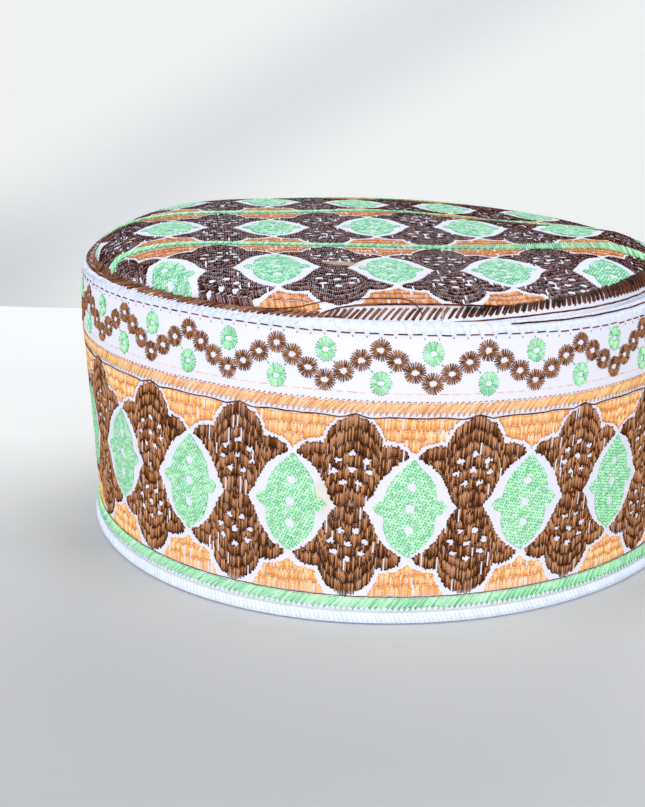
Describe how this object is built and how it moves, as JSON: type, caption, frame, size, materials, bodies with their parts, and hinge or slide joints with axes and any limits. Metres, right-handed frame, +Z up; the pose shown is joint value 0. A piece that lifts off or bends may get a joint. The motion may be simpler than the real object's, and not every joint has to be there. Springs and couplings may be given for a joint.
{
  "type": "embroidered prayer cap",
  "caption": "Stiff round embroidered cotton prayer cap with an upright side band, low domed crown, overcast seam and hem; worn on the head, rests on its hem.",
  "frame": {"origin": "the middle of the cap's plan, on the surface that its hem rests on", "axes": "+Z up through the crown; -Y towards the front that the picture shows; +X to its right"},
  "size_m": [0.1856, 0.1868, 0.0902],
  "materials": {
    "band_cloth": "white cotton with brown, orange and green satin embroidery",
    "crown_cloth": "white cotton with dark brown, orange and green satin embroidery",
    "seam_thread": "white cotton overcast stitches",
    "hem_thread": "thick white cotton overcast stitches"
  },
  "bodies": {
    "root": {"side_band": "band_cloth", "crown_panel": "crown_cloth", "crown_seam": "seam_thread", "hem_edging": "hem_thread"}
  },
  "joints": []
}
